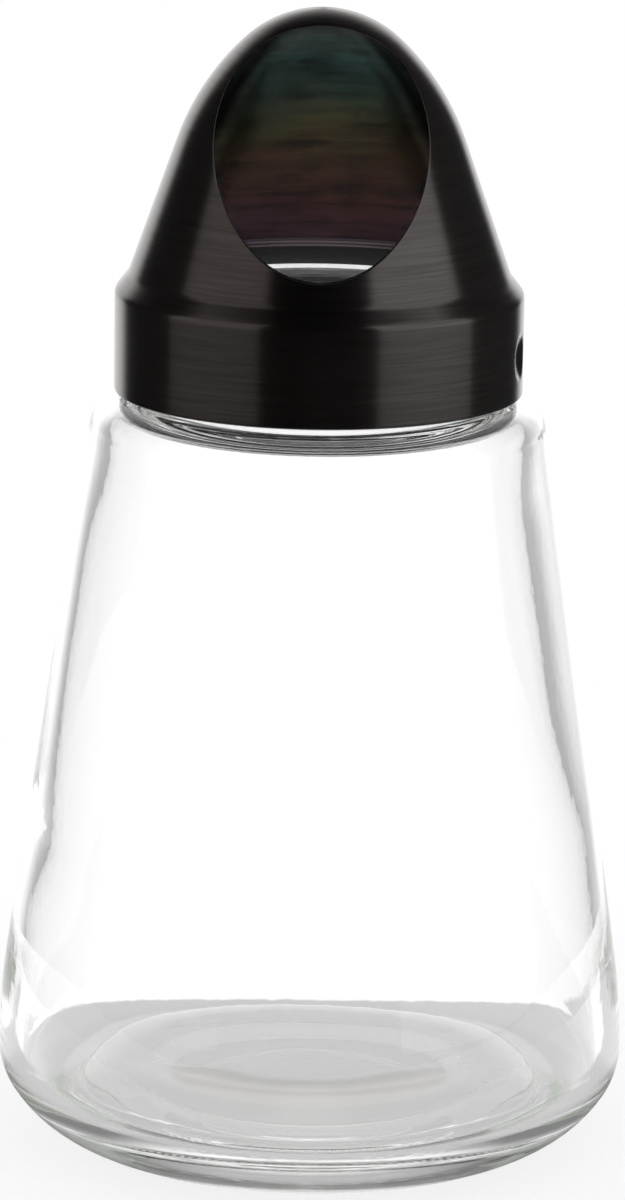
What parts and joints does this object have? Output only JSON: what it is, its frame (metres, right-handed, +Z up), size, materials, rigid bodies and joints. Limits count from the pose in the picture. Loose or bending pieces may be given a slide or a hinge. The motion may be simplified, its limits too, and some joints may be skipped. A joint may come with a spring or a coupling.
{
  "type": "snack dispenser jar",
  "caption": "Tapered glass jar with a screw neck and a domed dark steel spout cap, whose round front mouth lets dry snacks slide out when the jar is tilted.",
  "frame": {"origin": "centre of the ring that the jar stands on, at the surface under it", "axes": "+Z up along the jar's axis, -Y towards the side that the mouth faces"},
  "size_m": [0.085, 0.085, 0.155],
  "materials": {
    "clear_glass": "clear pressed glass, slightly wavy inside",
    "dark_steel": "fine brushed black coating, rainbow tint inside",
    "black_plastic": "moulded, satin",
    "white_seal": "milky silicone"
  },
  "bodies": {
    "jar": {"glass_jar": "clear_glass"},
    "seal": {"sealing_ring": "white_seal"},
    "cap": {"spout_cap": "dark_steel", "thread_ring": "black_plastic"}
  },
  "joints": [
    {"name": "cap_lift", "type": "slide", "parent": "jar", "child": "seal", "axis": [0, 0, 1], "range_m": [0, 0.01265]},
    {"name": "cap_turn", "type": "hinge", "parent": "seal", "child": "cap", "pos_m": [0, 0, 0.11], "axis": [0, 0, 1], "range_deg": [0, 1080]}
  ],
  "couplings": [
    {"joint": "cap_lift", "follows": "cap_turn", "m_per_rad": 0.00066845}
  ]
}
